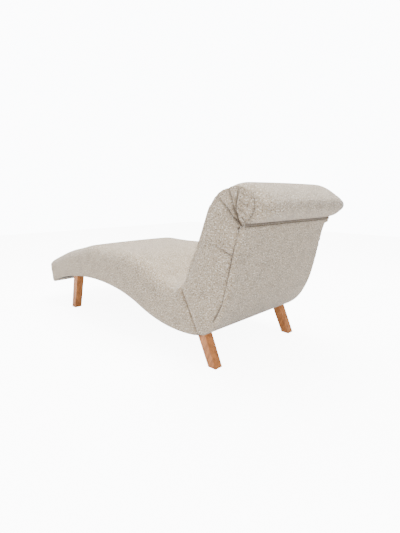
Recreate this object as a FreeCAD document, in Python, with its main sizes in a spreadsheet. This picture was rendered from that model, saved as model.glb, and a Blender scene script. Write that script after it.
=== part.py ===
"""Wave chaise longue: a plywood wave frame with zigzag springs, foam, a fabric cover and raked oak legs.

Millimetres. +Z is up, the toe points to -Y and the head to +Y. The origin is on the floor, in the middle
of the whole chaise. The side view is one closed outline that turns clockwise: toe, seat, back, roll,
outside back and underside. Every layer is drawn from that outline.
"""
import FreeCAD, Part
import math
import os
from FreeCAD import Placement, Rotation, Vector

DOC = FreeCAD.newDocument("wave_chaise")
SIZES = DOC.addObject("Spreadsheet::Sheet", "Sizes")

# Each row is a name, a size in millimetres or degrees, and what it is.
SIZE_ROWS = [
    ("body_width", 714, "upholstered width across the sides"),
    ("soft_edge_depth", 60, "how far the top falls at its rounded side edge"),
    ("soft_edge_reach", 64, "how far in from the side that edge starts"),
    ("roll_end_depth", 62, "how far the roll draws in at its domed end"),
    ("roll_end_reach", 115, "how far in from the side that dome starts"),
    ("toe_edge_depth", 22, "draw in of the front of the toe at its side edge"),
    ("toe_edge_reach", 34, "how far in from the side that draw in starts"),
    ("toe_top_depth", 38, "how far the top of the toe falls at its side edge"),
    ("roll_lip_depth", 30, "draw in of the underside of the roll at its end"),
    ("hem_edge", 10, "radius of the lower and rear side edges"),
    ("crease_edge", 16, "radius of the side lips along the hip crease"),
    ("crown", 5, "rise of the padding from its sides to its middle"),
    ("chord_turn", 28, "most that one straight chord of the padding turns, in degrees"),
    ("crease_gap", 0.8, "air between the seat and the back along the hip crease"),
    ("fabric", 1.5, "thickness of the woven cover"),
    ("layer_gap", 0.4, "air between one soft layer and the next"),
    ("seat_foam", 46, "foam over the seat springs"),
    ("toe_foam", 20, "foam over the front of the toe"),
    ("back_foam", 50, "foam over the back webbing"),
    ("roll_foam", 47, "foam round the core of the roll"),
    ("side_foam", 12, "foam over the outside of the side frames"),
    ("rear_wadding", 9, "wadding under the outside back"),
    ("floor_gap", 2.2, "distance from the frame down to the outer skin underneath"),
    ("nose_share", 0.15, "share of the way from that distance to the toe's foam, behind the toe's nose"),
    ("foot_share", 0.5, "the same share in front of that nose"),
    ("dust_cloth", 0.8, "thickness of the dust cover"),
    ("felt", 1.5, "thickness of the felt over the springs"),
    ("spring_space", 10.5, "height between the seat frame and the foam"),
    ("web_space", 3.5, "height between the back frame and the foam"),
    ("web_thickness", 1.6, "thickness of the elastic webbing"),
    ("web_width", 50, "width of one webbing band"),
    ("ply", 18, "thickness of the plywood side frames"),
    ("rail_thickness", 22, "thickness of the cross rails"),
    ("rail_width", 70, "width of the cross rails"),
    ("wood_gap", 0.2, "gap at each end of a cross rail"),
    ("spring_count", 6, "zigzag springs under the seat"),
    ("spring_first", 0.08, "share of the seat's length before the first spring"),
    ("spring_step", 0.155, "share of the seat's length from one spring to the next"),
    ("spring_slope", 0.12, "share of half a wave at which the wire has crossed over"),
    ("spring_end_gap", 2, "distance from the end of a spring in to the side of the frame"),
    ("spring_lift", 0.5, "air between a spring and the floor of its clip"),
    ("clip_lift", 0.3, "air between a clip and the edge of the side frame"),
    ("clip_room", 1, "added to the wire's thickness for the inside of a clip"),
    ("band_count", 4, "webbing bands across the back"),
    ("wire", 3.8, "thickness of the spring wire"),
    ("spring_reach", 22, "half of the width of one zigzag spring"),
    ("spring_pitch", 64, "length of one full wave of a zigzag spring"),
    ("clip_length", 15, "length of a spring clip along the wire"),
    ("clip_wall", 1.2, "sheet thickness of a spring clip"),
    ("foot_size", 47.4, "side of the square foot of a leg"),
    ("leg_top_size", 50.5, "side of a leg where it meets the underside"),
    ("leg_edge", 1.5, "width of the bevel on the long edges of a leg"),
    ("leg_inset", 21, "distance from the side of the body in to a leg"),
    ("leg_overrun", 60, "how far a leg runs into the body before its top is cut to the underside"),
    ("rear_leg_y", 614, "where the axis of a rear leg meets the underside"),
    ("rear_leg_rake", 24.7, "backward lean of the rear legs"),
    ("front_leg_y", -589.5, "where the axis of a front leg meets the underside"),
    ("front_leg_rake", 14.6, "forward lean of the front legs"),
    ("block_height", 34, "height of a leg block"),
    ("block_length", 110, "length of a leg block along the frame"),
    ("block_width", 78, "width of a leg block across the frame"),
    ("bolt_diameter", 8, "thread diameter of a hanger bolt"),
    ("bolt_depth", 45, "depth of a hanger bolt in its leg"),
    ("bolt_clearance", 0.6, "added to the diameter of a bolt or barrel for its hole"),
    ("bolt_proud", 4, "how far a bolt stands out of its tee nut"),
    ("rod_sides", 12, "flat sides that stand for the round of a bolt and its holes"),
    ("nut_barrel", 13, "outer diameter of the barrel of a tee nut"),
    ("nut_length", 14, "length of that barrel"),
    ("nut_flange", 24, "diameter of the flange of a tee nut"),
    ("nut_plate", 1.8, "thickness of that flange"),
    ("tuck_hem", 7, "height of the hem under the roll, above the outside back"),
    ("toe_hem", 12, "hem of the seat's cover under the foot of the toe"),
    ("cavity_overrun", 4, "how far the opening in the padding runs out past its skin"),
    ("tack_width", 14, "height of the tack strip under the roll"),
    ("tack_thickness", 3, "thickness of the tack strip"),
    ("toe_front_y", -962, "front of the toe"),
    ("tuck_y", 860, "rear face just under the roll"),
    ("tuck_z", 662, "height of the tuck under the roll"),
    ("crease_top_y", 486, "upper end of the hip crease"),
    ("crease_top_z", 371, "height of that end"),
    ("crease_foot_y", 613, "lower end of the hip crease"),
    ("crease_foot_z", 143.6, "height of that end"),
    ("crease_top_round", 24, "length of the rounding at the upper end of the crease"),
    ("crease_foot_round", 16, "length of the rounding at its lower end"),
]

# The outline's stations, in order: a name, the place that y is measured from, the place that z is
# measured from, y, z, and the heading of the outline in degrees (0 is towards the head, 90 is up).
STATION_ROWS = [
    ("toe_low", "toe_front_y", None, 55, 152, 112.5),
    ("toe_high", "toe_front_y", None, 0, 262, 91),
    ("toe_top", "toe_front_y", None, 45, 318, 19.9),
    ("rise", None, None, -589, 421, 11.7),
    ("hump", None, None, -289, 471, -2.7),
    ("fall", None, None, 174, 430, -21.2),
    ("hip", None, None, 437, 360, 9.9),
    ("lumbar", None, None, 516, 408, 71),
    ("neck", "tuck_y", "tuck_z", -242, -24, 68.9),
    ("crown_front", "tuck_y", "tuck_z", -173, 114, 48.6),
    ("crown_top", "tuck_y", "tuck_z", -87, 166, 15.6),
    ("roll_back", "tuck_y", "tuck_z", 88, 104, -43.8),
    ("roll_low", "tuck_y", "tuck_z", 9, 11, 178.2),
    ("tuck", "tuck_y", "tuck_z", 0, 0, -108.5),
    ("back_low", "tuck_y", None, -71, 368, -104),
    ("hip_rear", "crease_foot_y", "crease_foot_z", 26, 10.2, -155.1),
    ("hip_front", "crease_foot_y", "crease_foot_z", -24.5, -5.7, -170.1),
    ("belly", None, None, 479, 129.3, -179.5),
    ("under_rise", None, None, 166, 187, 159.3),
    ("arch", None, None, -297, 261, -179.7),
    ("under_toe", "toe_front_y", None, 91, 166, -160.6),
]
NAMES = [row[0] for row in STATION_ROWS]


def write_sizes():
    """Put every size in the sheet, one to a row, with its name as the alias."""
    rows = list(SIZE_ROWS)
    for name, _, _, y, z, heading in STATION_ROWS:
        rows.append((name + "_along", y, "y of the outline at " + name))
        rows.append((name + "_above", z, "z of the outline at " + name))
        rows.append((name + "_heading", heading, "heading of the outline at " + name))
    for index, (alias, number, meaning) in enumerate(rows, start=1):
        SIZES.set("A%d" % index, alias)
        SIZES.set("B%d" % index, str(number))
        SIZES.set("C%d" % index, meaning)
        SIZES.setAlias("B%d" % index, alias)
    DOC.recompute()


def size(alias):
    """The number that the sheet holds under this name."""
    return float(SIZES.get(alias))


write_sizes()
HALF = size("body_width") / 2
FRAME_HALF = HALF - size("side_foam")


def stations():
    """Place (y, z) and heading in radians of the outline at each station."""
    found = {}
    for name, y_base, z_base, _, _, _ in STATION_ROWS:
        y = size(name + "_along") + (size(y_base) if y_base else 0)
        z = size(name + "_above") + (size(z_base) if z_base else 0)
        found[name] = (y, z, math.radians(size(name + "_heading")))
    return found


OUTLINE = stations()
REAR = ("tuck", "back_low", "hip_rear")
UNDER = ("hip_front", "belly", "under_rise", "arch", "under_toe")
HEAD = ("crown_front", "crown_top", "roll_back")
SEAT_TOP = ("toe_top", "rise", "hump", "fall", "hip")
BACK_FRONT = ("lumbar", "neck")


def moved(knot, inward):
    """The same station, moved square to the outline by this much, inwards where positive."""
    y, z, heading = knot
    return (y + inward * math.sin(heading), z - inward * math.cos(heading), heading)


def turn_between(start, end):
    """Signed angle from one heading to another, within half a turn."""
    return (end - start + math.pi) % (2 * math.pi) - math.pi


class Curve:
    """One arc of the side view, or a straight run, from a point and heading to an end point."""

    def __init__(self, start, heading, end, turn):
        self.start = start
        self.heading = heading
        self.end = end
        self.turn = turn
        self.chord = math.dist(start, end)
        self.straight = abs(turn) < 1e-5
        self.radius = None if self.straight else self.chord / (2 * math.sin(turn / 2))
        self.length = self.chord if self.straight else abs(self.radius * turn)

    def point(self, share):
        """Place and heading at a share of the way along: a circle of signed radius about its centre."""
        heading = self.heading + self.turn * share
        if self.straight:
            y = self.start[0] + (self.end[0] - self.start[0]) * share
            z = self.start[1] + (self.end[1] - self.start[1]) * share
            return (y, z, heading)
        y = self.start[0] + self.radius * (math.sin(heading) - math.sin(self.heading))
        z = self.start[1] - self.radius * (math.cos(heading) - math.cos(self.heading))
        return (y, z, heading)

    def part(self, first, last):
        """The stretch of this curve between two shares of its length."""
        a = self.point(first)
        b = self.point(last)
        return Curve(a[:2], a[2], b[:2], self.turn * (last - first))

    def aside(self, inward):
        """The same curve moved inwards, about the same centre."""
        a = moved(self.point(0), inward)
        b = moved(self.point(1), inward)
        return Curve(a[:2], a[2], b[:2], self.turn)

    def chord_count(self):
        """How many straight chords stand for this curve in the padding, none turning by more than a step."""
        return max(1, math.ceil(abs(self.turn) / math.radians(size("chord_turn"))))

    def chord_rise(self):
        """How far those chords stand off the arc: an eighth of the length times the turn of one chord."""
        return self.length * abs(self.turn) / 8 / self.chord_count() ** 2


def two_arcs(first, last):
    """Two tangent arcs that join two stations. Both tangent runs have the length d that makes them meet:
    |(p1 - d t1) - (p0 + d t0)| = 2 d."""
    t0 = (math.cos(first[2]), math.sin(first[2]))
    t1 = (math.cos(last[2]), math.sin(last[2]))
    v = (last[0] - first[0], last[1] - first[1])
    along = v[0] * (t0[0] + t1[0]) + v[1] * (t0[1] + t1[1])
    square = v[0] ** 2 + v[1] ** 2
    spread = 2 * (1 - (t0[0] * t1[0] + t0[1] * t1[1]))
    if spread < 1e-9:
        d = square / (4 * (v[0] * t1[0] + v[1] * t1[1]))
    else:
        d = (-along + math.sqrt(along * along + spread * square)) / spread
    a = (first[0] + d * t0[0], first[1] + d * t0[1])
    b = (last[0] - d * t1[0], last[1] - d * t1[1])
    joint = ((a[0] + b[0]) / 2, (a[1] + b[1]) / 2)
    heading = math.atan2(b[1] - a[1], b[0] - a[0])
    return [Curve(first[:2], first[2], joint, turn_between(first[2], heading)),
            Curve(joint, heading, last[:2], turn_between(heading, last[2]))]


def path(knots, closed=False):
    """Tangent arcs through a row of stations."""
    curves = []
    pairs = list(zip(knots, knots[1:]))
    if closed:
        pairs.append((knots[-1], knots[0]))
    for first, last in pairs:
        curves += two_arcs(first, last)
    return curves


def backwards(curves):
    """The same curves in the other direction."""
    turned = []
    for curve in reversed(curves):
        turned.append(Curve(curve.end, curve.heading + curve.turn + math.pi, curve.start, -curve.turn))
    return turned


def run(a, b):
    """A straight run between two points."""
    return Curve(a, math.atan2(b[1] - a[1], b[0] - a[0]), b, 0)


def layer_inset(name, seat, back, roll, toe, rear, under):
    """Depth of a layer below the outline at one station."""
    if name in SEAT_TOP:
        return seat
    if name in BACK_FRONT:
        return back
    if name in HEAD or name == "roll_low":
        return roll
    if name == "toe_high":
        return toe
    if name == "toe_low":
        return under + size("foot_share") * (toe - under)
    if name == "under_toe":
        return under + size("nose_share") * (toe - under)
    return rear if name in REAR else under


def layer_path(seat, back, roll, toe, rear, under):
    """The closed side view of a layer, one pair of arcs from each station to the next."""
    depths = [layer_inset(name, seat, back, roll, toe, rear, under) for name in NAMES]
    return path([moved(OUTLINE[name], depth) for name, depth in zip(NAMES, depths)], closed=True)


def between(curves, first, last):
    """The stretch of a closed path from one station to a later one."""
    return curves[2 * NAMES.index(first):2 * NAMES.index(last)]


def total_length(curves):
    """Length of a row of curves."""
    return sum(curve.length for curve in curves)


def stretch(curves, start, end):
    """The part of a row of curves between two distances along it."""
    found = []
    gone = 0
    for curve in curves:
        first = max(0, (start - gone) / curve.length)
        last = min(1, (end - gone) / curve.length)
        if last - first > 1e-6:
            found.append(curve.part(first, last))
        gone += curve.length
    return found


def at_y(curves, y):
    """Place and heading where a row of curves reaches this y, found by halving."""
    for curve in curves:
        low, high = 0, 1
        side = curve.point(0)[0] - y
        if side * (curve.point(1)[0] - y) > 0:
            continue
        for _ in range(40):
            middle = (low + high) / 2
            if side * (curve.point(middle)[0] - y) > 0:
                low = middle
            else:
                high = middle
        return curve.point(low)
    nearest = min(curves, key=lambda curve: abs(curve.start[0] - y))
    return nearest.point(0)


SKIN = layer_path(0, 0, 0, 0, 0, 0)
SEAT_DEPTH = size("seat_foam")
BACK_DEPTH = size("back_foam")
ROLL_DEPTH = size("roll_foam")
WOOD = layer_path(SEAT_DEPTH + size("spring_space"), BACK_DEPTH + size("web_space"), ROLL_DEPTH,
                  size("toe_foam"), size("fabric") + size("rear_wadding"), size("floor_gap"))


def cavity():
    """The side view of the space inside the padding. It is open under the seat and behind the back,
    where it runs out past the outline. A hem of the padding is left under the roll and under the toe."""
    gap = size("layer_gap")
    rear = size("fabric") + size("rear_wadding") - gap
    inner = layer_path(SEAT_DEPTH, BACK_DEPTH, ROLL_DEPTH - gap, size("toe_foam") - gap, rear,
                       size("floor_gap") - gap)
    nose = inner[2 * NAMES.index("arch"):]
    nose = stretch(nose, total_length(nose[:2]) - size("toe_hem"), total_length(nose))
    inner = nose + between(inner, "toe_low", "tuck")
    rows = between(SKIN, "tuck", "under_toe")
    total = total_length(rows) - size("toe_hem")
    overrun = size("cavity_overrun") + max(curve.chord_rise() for curve in rows)
    outer = [curve.aside(-overrun) for curve in stretch(rows, size("tuck_hem"), total)]
    return inner + [run(inner[-1].end, outer[0].start)] + outer + [run(outer[-1].end, inner[0].start)]


FRAME_WIDTH = "2 * (Sizes.body_width / 2 - Sizes.side_foam)"
PARTS = []


def number(expression):
    """The value of an expression on the sheet."""
    return float(SIZES.evalExpression(expression))


def node(item, label):
    """Name a sub-part and keep it for writing."""
    item.Label = label
    PARTS.append(item)
    return item


def origin_plane(body, role):
    """One of a body's own origin planes."""
    return next(item for item in body.Origin.OriginFeatures if item.Role == role)


def sketch_on(body, name, role):
    """An empty sketch on one of the body's planes."""
    sketch = body.newObject("Sketcher::SketchObject", name)
    sketch.AttachmentSupport = (origin_plane(body, role), [""])
    sketch.MapMode = "FlatFace"
    return sketch


def draw(sketch, curves):
    """Draw side view curves in a sketch on the YZ plane, joined end to end."""
    for curve in curves:
        a = Vector(curve.start[0], curve.start[1], 0)
        b = Vector(curve.end[0], curve.end[1], 0)
        if curve.straight:
            sketch.addGeometry(Part.LineSegment(a, b), False)
        else:
            middle = curve.point(0.5)
            sketch.addGeometry(Part.Arc(a, Vector(middle[0], middle[1], 0), b), False)


def side_view_body(name, curves, width, offset=None):
    """A body made by padding a closed side view across the chaise, either side of a middle plane."""
    body = DOC.addObject("PartDesign::Body", name)
    sketch = sketch_on(body, name + "_outline", "YZ_Plane")
    draw(sketch, curves)
    if offset:
        sketch.setExpression("AttachmentOffset.Base.z", offset)
    pad = body.newObject("PartDesign::Pad", name + "_width")
    pad.Profile = sketch
    pad.SideType = "Symmetric"
    pad.setExpression("Length", width)
    body.Tip = pad
    return body


def strip(outer, inner):
    """The closed side view of a thin layer between two rows of curves."""
    end = run(outer[-1].end, inner[-1].end)
    start = run(inner[0].start, outer[0].start)
    return outer + [end] + backwards(inner) + [start]


def bar(name, length, width, height, station, x, low):
    """A square edged bar: its length across the chaise, its width along the outline at a station, and its
    height out of the outline, from this distance above it. x is where its middle stands."""
    item = DOC.addObject("Part::Box", name)
    item.setExpression("Length", length)
    item.setExpression("Width", width)
    item.setExpression("Height", height)
    turn = Rotation(Vector(1, 0, 0), math.degrees(station[2]))
    corner = Vector(-number(length) / 2, -number(width) / 2, low)
    item.Placement = Placement(Vector(x, station[0], station[1]) + turn.multVec(corner), turn)
    return item


def prism(name, sides, radius, height, station, x, low):
    """An upright prism in the same place and turn as such a bar: sides, corner radius and height."""
    item = DOC.addObject("Part::Prism", name)
    item.setExpression("Polygon", sides)
    item.setExpression("Circumradius", radius)
    item.setExpression("Height", height)
    turn = Rotation(Vector(1, 0, 0), math.degrees(station[2]))
    item.Placement = Placement(Vector(x, station[0], station[1]) + turn.multVec(Vector(0, 0, low)), turn)
    return item


def boolean(kind, name, base, tool):
    """A cut or common of two items."""
    item = DOC.addObject("Part::" + kind, name)
    item.Base = base
    item.Tool = tool
    return item


def group(label, items):
    """Separate alike solids that share one node."""
    item = DOC.addObject("Part::Compound", label)
    item.Links = items
    return node(item, label)


# Plywood side frames: the whole wave, cut from one sheet each.
INNER_FACE = "Sizes.body_width / 2 - Sizes.side_foam - Sizes.ply"
for SIDE, SIGN in (("left", ""), ("right", "-")):
    MIDDLE = SIGN + "(Sizes.body_width / 2 - Sizes.side_foam - Sizes.ply / 2)"
    node(side_view_body("side_frame_" + SIDE, WOOD, "Sizes.ply", MIDDLE), "side_frame_" + SIDE)

INSIDE_WIDTH = "2 * (" + INNER_FACE + " - Sizes.wood_gap)"
INSIDE = side_view_body("inside_of_frame", WOOD, INSIDE_WIDTH)
SOLID = side_view_body("whole_outline", SKIN, "Sizes.body_width")


def rail(label, station):
    """A cross rail between the side frames, its outer face trimmed to their edges."""
    blank = bar(label + "_blank", INSIDE_WIDTH, "Sizes.rail_width", "2 * Sizes.rail_thickness", station, 0,
                -size("rail_thickness"))
    return node(boolean("Common", label, blank, INSIDE), label)


def share_of(first, last, share):
    """Place on the wooden frame a share of the way between two stations."""
    curves = between(WOOD, first, last)
    piece = stretch(curves, 0, total_length(curves) * share)[-1]
    return piece.point(1)


# Each rail sits a share of the way from one station to another.
for LABEL, FIRST, LAST, SHARE in (("toe_rail", "toe_low", "toe_high", 0.75),
                                  ("seat_front_rail", "rise", "hump", 0.1),
                                  ("seat_middle_rail", "hump", "fall", 0.35),
                                  ("hip_rail", "hip", "lumbar", 0.1),
                                  ("lumbar_rail", "lumbar", "neck", 0.6),
                                  ("neck_rail", "neck", "crown_front", 0.3),
                                  ("roll_rail", "roll_back", "roll_low", 0.3),
                                  ("outside_back_rail", "back_low", "hip_rear", 0.15)):
    rail(LABEL, share_of(FIRST, LAST, SHARE))

# Leg blocks, legs, hanger bolts and tee nuts. The rear legs lean back and the front legs forward.
LEGS = [("front", "front_leg_y", -size("front_leg_rake"), ("arch", "under_toe"), ("under_rise", "arch")),
        ("rear", "rear_leg_y", size("rear_leg_rake"), ("back_low", "hip_front"), ("hip_rear", "belly"))]


def leg_seat(curves, name, spans):
    """Where the axis of a leg meets a layer of the underside: place, then heading turned to face up."""
    for first, last in spans:
        rows = between(curves, first, last)
        ends = sorted((rows[0].start[0], rows[-1].end[0]))
        if ends[0] <= size(name) <= ends[1]:
            return at_y(rows, size(name))
    return at_y(between(curves, spans[0][0], spans[0][1]), size(name))


def leg_blank(name, seat, rake, x):
    """A square leg that tapers down to its foot, along its raked axis, and runs on up into the body."""
    top = seat[1] + size("leg_overrun")
    lean = math.tan(math.radians(rake))
    foot = "Sizes.foot_size / 2"
    grown = "(%s + (Sizes.leg_top_size - Sizes.foot_size) / 2 * %.6f)" % (foot, top / seat[1])
    item = DOC.addObject("Part::Wedge", name)
    item.setExpression("Xmin", "-" + foot)
    item.setExpression("Xmax", foot)
    item.setExpression("Zmin", "-" + foot)
    item.setExpression("Zmax", foot)
    item.setExpression("X2min", "-" + grown)
    item.setExpression("X2max", grown)
    item.setExpression("Z2min", "%.6f - %s" % (top * lean, grown))
    item.setExpression("Z2max", "%.6f + %s" % (top * lean, grown))
    item.Ymin = 0
    item.Ymax = top
    item.Placement = Placement(Vector(x, seat[0] + seat[1] * lean, 0), Rotation(Vector(1, 0, 0), 90))
    return item


def eased(name, base):
    """The same leg with its four long edges bevelled."""
    DOC.recompute()
    item = DOC.addObject("Part::Chamfer", name)
    item.Base = base
    radius = size("leg_edge")
    edges = []
    for index, edge in enumerate(base.Shape.Edges, start=1):
        direction = edge.tangentAt(edge.FirstParameter)
        if abs(direction.z) > 0.5:
            edges.append((index, radius, radius))
    item.Edges = edges
    return item


# A hole with flat sides clears the round rod in it where its corners lie further out by this factor.
CORNER = " / cos(180 / Sizes.rod_sides)"
BORE = "(Sizes.bolt_diameter + Sizes.bolt_clearance) / 2" + CORNER
SOCKET = "(Sizes.nut_barrel + Sizes.bolt_clearance) / 2" + CORNER
ABOVE_NUT = "Sizes.block_height + Sizes.nut_plate + Sizes.bolt_proud"


def tee_nut(name, seat, x):
    """A nut with a square plate on the block and a hexagonal barrel down in it, bored for the bolt."""
    top = size("block_height")
    plate = bar(name + "_plate", "Sizes.nut_flange", "Sizes.nut_flange", "Sizes.nut_plate", seat, x, top)
    barrel = prism(name + "_barrel", "6", "Sizes.nut_barrel / 2", "Sizes.nut_length", seat, x,
                   top - size("nut_length"))
    whole = boolean("Fuse", name + "_whole", plate, barrel)
    bore = prism(name + "_bore", "Sizes.rod_sides", BORE, "Sizes.nut_length + " + ABOVE_NUT, seat, x,
                 top - 2 * size("nut_length"))
    return boolean("Cut", name, whole, bore)


BOLTS = []
NUTS = []
HOLES = []
LEG_X = HALF - size("leg_inset") - size("leg_top_size") / 2
BLOCK_X = FRAME_HALF - size("ply") - size("wood_gap") - size("block_width") / 2
DEPTH = size("bolt_depth")
for END, LEG_Y, RAKE, FIRST, SECOND in LEGS:
    MEETING = leg_seat(SKIN, LEG_Y, (FIRST, SECOND))
    SEAT = (MEETING[0], MEETING[1], math.radians(RAKE))
    for SIDE, SIGN in (("left", 1), ("right", -1)):
        TAIL = "_%s_%s" % (END, SIDE)
        X = SIGN * LEG_X
        HOLE = prism("bolt_hole" + TAIL, "Sizes.rod_sides", BORE,
                     "Sizes.bolt_depth + Sizes.block_height + Sizes.nut_plate", SEAT, X, -DEPTH)
        HOLES.append(HOLE)
        BLANK = leg_blank("leg_blank" + TAIL, SEAT, RAKE, X)
        CUT = boolean("Cut", "leg_cut" + TAIL, eased("leg_eased" + TAIL, BLANK), SOLID)
        node(boolean("Cut", "%s_leg_%s" % (END, SIDE), CUT, HOLE), "%s_leg_%s" % (END, SIDE))
        BLOCK = bar("block_blank" + TAIL, "Sizes.block_width", "Sizes.block_length",
                    "2 * Sizes.block_height", SEAT, SIGN * BLOCK_X, -size("block_height"))
        TRIMMED = boolean("Common", "block_trimmed" + TAIL, BLOCK, INSIDE)
        BARREL = prism("nut_hole" + TAIL, "Sizes.rod_sides", SOCKET, "Sizes.block_height * 2", SEAT, X,
                       -size("block_height") / 2)
        node(boolean("Cut", "%s_leg_block_%s" % (END, SIDE), TRIMMED, BARREL),
             "%s_leg_block_%s" % (END, SIDE))
        BOLTS.append(prism("bolt" + TAIL, "Sizes.rod_sides", "Sizes.bolt_diameter / 2",
                           "Sizes.bolt_depth + " + ABOVE_NUT, SEAT, X, -DEPTH))
        NUTS.append(tee_nut("nut" + TAIL, SEAT, X))
group("hanger_bolts", BOLTS)
group("tee_nuts", NUTS)


# Zigzag seat springs: flat waves of wire from side frame to side frame, held by folded clips.
def zigzag(span):
    """Centre line of a zigzag spring across a span: flat ended waves, one more half wave than whole."""
    pitch = size("spring_pitch")
    reach = size("spring_reach") - size("wire") / 2
    lead = size("clip_length") + size("wire")
    count = 2 * int((span - 2 * lead - pitch / 2) / pitch) + 1
    half = pitch / 2
    slope = size("spring_slope") * half
    start = -count * half / 2
    points = [(-span / 2, 0), (lead - span / 2, 0)]
    for index in range(count):
        side = reach if index % 2 == 0 else -reach
        left = start + index * half
        points.append((left + slope, side))
        points.append((left + half - slope, side))
    points += [(span / 2 - lead, 0), (span / 2, 0)]
    return points


def ribbon(points, half):
    """Both sides of a flat wire along a line of points, mitred at each turn."""
    sides = ([], [])
    for index, point in enumerate(points):
        before = points[max(0, index - 1)]
        after = points[min(len(points) - 1, index + 1)]
        first = math.atan2(point[1] - before[1], point[0] - before[0])
        second = math.atan2(after[1] - point[1], after[0] - point[0])
        if index == 0:
            first = second
        if index == len(points) - 1:
            second = first
        turn = turn_between(first, second)
        square = first + turn / 2 + math.pi / 2
        reach = half / math.cos(turn / 2)
        for side, sign in zip(sides, (1, -1)):
            side.append(Vector(point[0] + sign * reach * math.cos(square),
                               point[1] + sign * reach * math.sin(square), 0))
    return sides[0] + list(reversed(sides[1]))


def spring(name, station):
    """One zigzag spring, padded from its flat outline and lifted clear of the frame."""
    body = DOC.addObject("PartDesign::Body", name)
    sketch = sketch_on(body, name + "_wave", "XY_Plane")
    points = ribbon(zigzag(2 * (FRAME_HALF - size("spring_end_gap"))), size("wire") / 2)
    for index, point in enumerate(points):
        sketch.addGeometry(Part.LineSegment(point, points[(index + 1) % len(points)]), False)
    pad = body.newObject("PartDesign::Pad", name + "_wire")
    pad.Profile = sketch
    pad.setExpression("Length", "Sizes.wire")
    body.Tip = pad
    y, z, heading = moved(station, -size("clip_lift") - size("clip_wall") - size("spring_lift"))
    body.Placement = Placement(Vector(0, y, z), Rotation(Vector(1, 0, 0), math.degrees(heading)))
    return body


def clip(name, station, x):
    """A folded strip that wraps the end of one spring."""
    room = "(Sizes.wire + Sizes.clip_room)"
    outside = "(Sizes.wire + Sizes.clip_room + 2 * Sizes.clip_wall)"
    low = size("clip_lift")
    outer = bar(name + "_outside", "Sizes.clip_length", outside, outside, station, x, low)
    inner = bar(name + "_room", "2 * Sizes.clip_length", room, room, station, x, low + size("clip_wall"))
    return boolean("Cut", name, outer, inner)


SPRINGS = []
CLIPS = []
for INDEX in range(int(size("spring_count"))):
    STATION = share_of("toe_top", "hip", size("spring_first") + INDEX * size("spring_step"))
    SPRINGS.append(spring("spring_%d" % (INDEX + 1), STATION))
    for SIDE, SIGN in (("left", 1), ("right", -1)):
        EDGE_X = SIGN * (FRAME_HALF - size("ply") / 2)
        CLIPS.append(clip("clip_%d_%s" % (INDEX + 1, SIDE), STATION, EDGE_X))
group("seat_springs", SPRINGS)
group("spring_clips", CLIPS)

# Felt over the springs, webbing over the back, wadding and fabric behind it, and the dust cover.
FELT_UNDER = layer_path(SEAT_DEPTH + size("layer_gap") + size("felt"), BACK_DEPTH + size("web_space"),
                        ROLL_DEPTH, size("toe_foam"), 0, 0)
FELT_OVER = layer_path(SEAT_DEPTH + size("layer_gap"), BACK_DEPTH + size("web_space"), ROLL_DEPTH,
                       size("toe_foam"), 0, 0)
node(side_view_body("spring_felt", strip(between(FELT_OVER, "toe_top", "hip"),
                                         between(FELT_UNDER, "toe_top", "hip")),
                    FRAME_WIDTH + " - 2 * Sizes.layer_gap"), "spring_felt")

BACK_EDGE = between(WOOD, "lumbar", "neck")
BACK_RUN = total_length(BACK_EDGE)
BAND_COUNT = int(size("band_count"))
BANDS = []
for INDEX in range(BAND_COUNT):
    MIDDLE = BACK_RUN * (INDEX + 0.5) / BAND_COUNT
    BAND = stretch(BACK_EDGE, MIDDLE - size("web_width") / 2, MIDDLE + size("web_width") / 2)
    LOW = [curve.aside(-size("layer_gap")) for curve in BAND]
    HIGH = [curve.aside(-size("layer_gap") - size("web_thickness")) for curve in BAND]
    BANDS.append(side_view_body("band_%d" % (INDEX + 1), strip(HIGH, LOW), FRAME_WIDTH))
group("back_webbing", BANDS)


def skin_strip(label, first, last, high, low, start=0, end=None):
    """A thin layer that follows the outline between two depths below it."""
    rows = between(SKIN, first, last)
    rows = stretch(rows, start, total_length(rows) if end is None else end)
    outer = [curve.aside(high) for curve in rows]
    inner = [curve.aside(low) for curve in rows]
    return side_view_body(label, strip(outer, inner), FRAME_WIDTH + " - 2 * Sizes.layer_gap")


PANEL_TOP = size("tuck_hem") + size("layer_gap")
TACK_END = PANEL_TOP + size("tack_width")
BEHIND = size("fabric") + size("layer_gap")
node(skin_strip("outside_back_cover", "tuck", "hip_rear", 0, size("fabric"), PANEL_TOP),
     "outside_back_cover")
node(skin_strip("tack_strip", "tuck", "hip_rear", BEHIND, BEHIND + size("tack_thickness"), PANEL_TOP,
                TACK_END), "tack_strip")
node(skin_strip("outside_back_wadding", "tuck", "hip_rear", BEHIND,
                size("fabric") + size("rear_wadding") - size("layer_gap"), TACK_END + size("layer_gap")),
     "outside_back_wadding")

# The dust cover has a hole for each hanger bolt.
DUST_END = total_length(between(SKIN, "hip_rear", "under_toe")) - size("toe_hem") - size("layer_gap")
DUST = skin_strip("dust_cloth_sheet", "hip_rear", "under_toe", 0, size("dust_cloth"), 0, DUST_END)
ALL_HOLES = DOC.addObject("Part::Compound", "all_bolt_holes")
ALL_HOLES.Links = HOLES
node(boolean("Cut", "dust_cover", DUST, ALL_HOLES), "dust_cover")

# The soft forms: lofts through side views that draw in towards the sides.
EDGE_OF = {"hem": (size("hem_edge"), size("hem_edge")),
           "crease": (size("crease_edge"), size("crease_edge")),
           "soft": (size("soft_edge_depth"), size("soft_edge_reach")),
           "roll": (size("roll_end_depth"), size("roll_end_reach")),
           "lip": (size("roll_lip_depth"), size("roll_end_reach")),
           "toe": (size("toe_edge_depth"), size("toe_edge_reach")),
           "toe_top": (size("toe_top_depth"), size("soft_edge_reach"))}


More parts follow.
